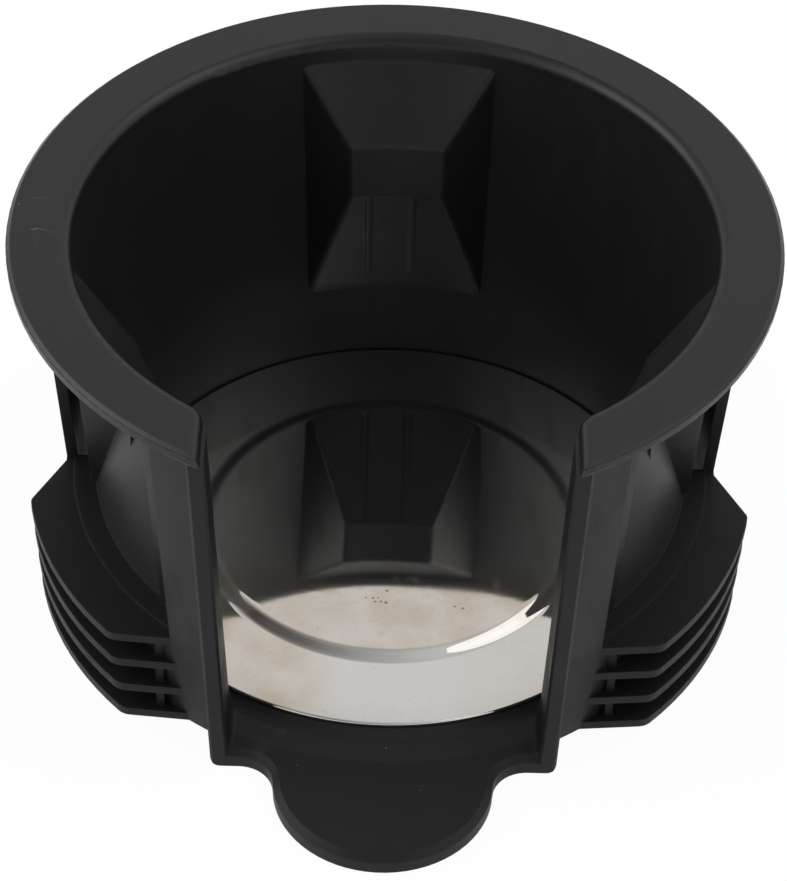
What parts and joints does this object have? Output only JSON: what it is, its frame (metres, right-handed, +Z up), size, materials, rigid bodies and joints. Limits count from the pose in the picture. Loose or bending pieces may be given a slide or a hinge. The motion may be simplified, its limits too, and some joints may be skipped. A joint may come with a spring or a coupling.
{
  "type": "car cup holder",
  "caption": "Round moulded cup holder for a car console with a wide rim, a front slot for a mug handle, inward gripping bumps, side fins, a front tongue and a polished disc on its floor.",
  "frame": {"origin": "on the cup's axis at the flat underside it stands on", "axes": "+Z up along the cup's axis, -Y towards the slot and the tongue, +X to the right seen from the slot"},
  "size_m": [0.1042, 0.1142, 0.0591],
  "materials": {
    "black_plastic": "fine matte grain, slightly satin on the rim",
    "polished_steel": "polished stainless sheet with faint smudges"
  },
  "bodies": {
    "root": {"cup_body": "black_plastic", "base_disc": "polished_steel"}
  },
  "joints": []
}
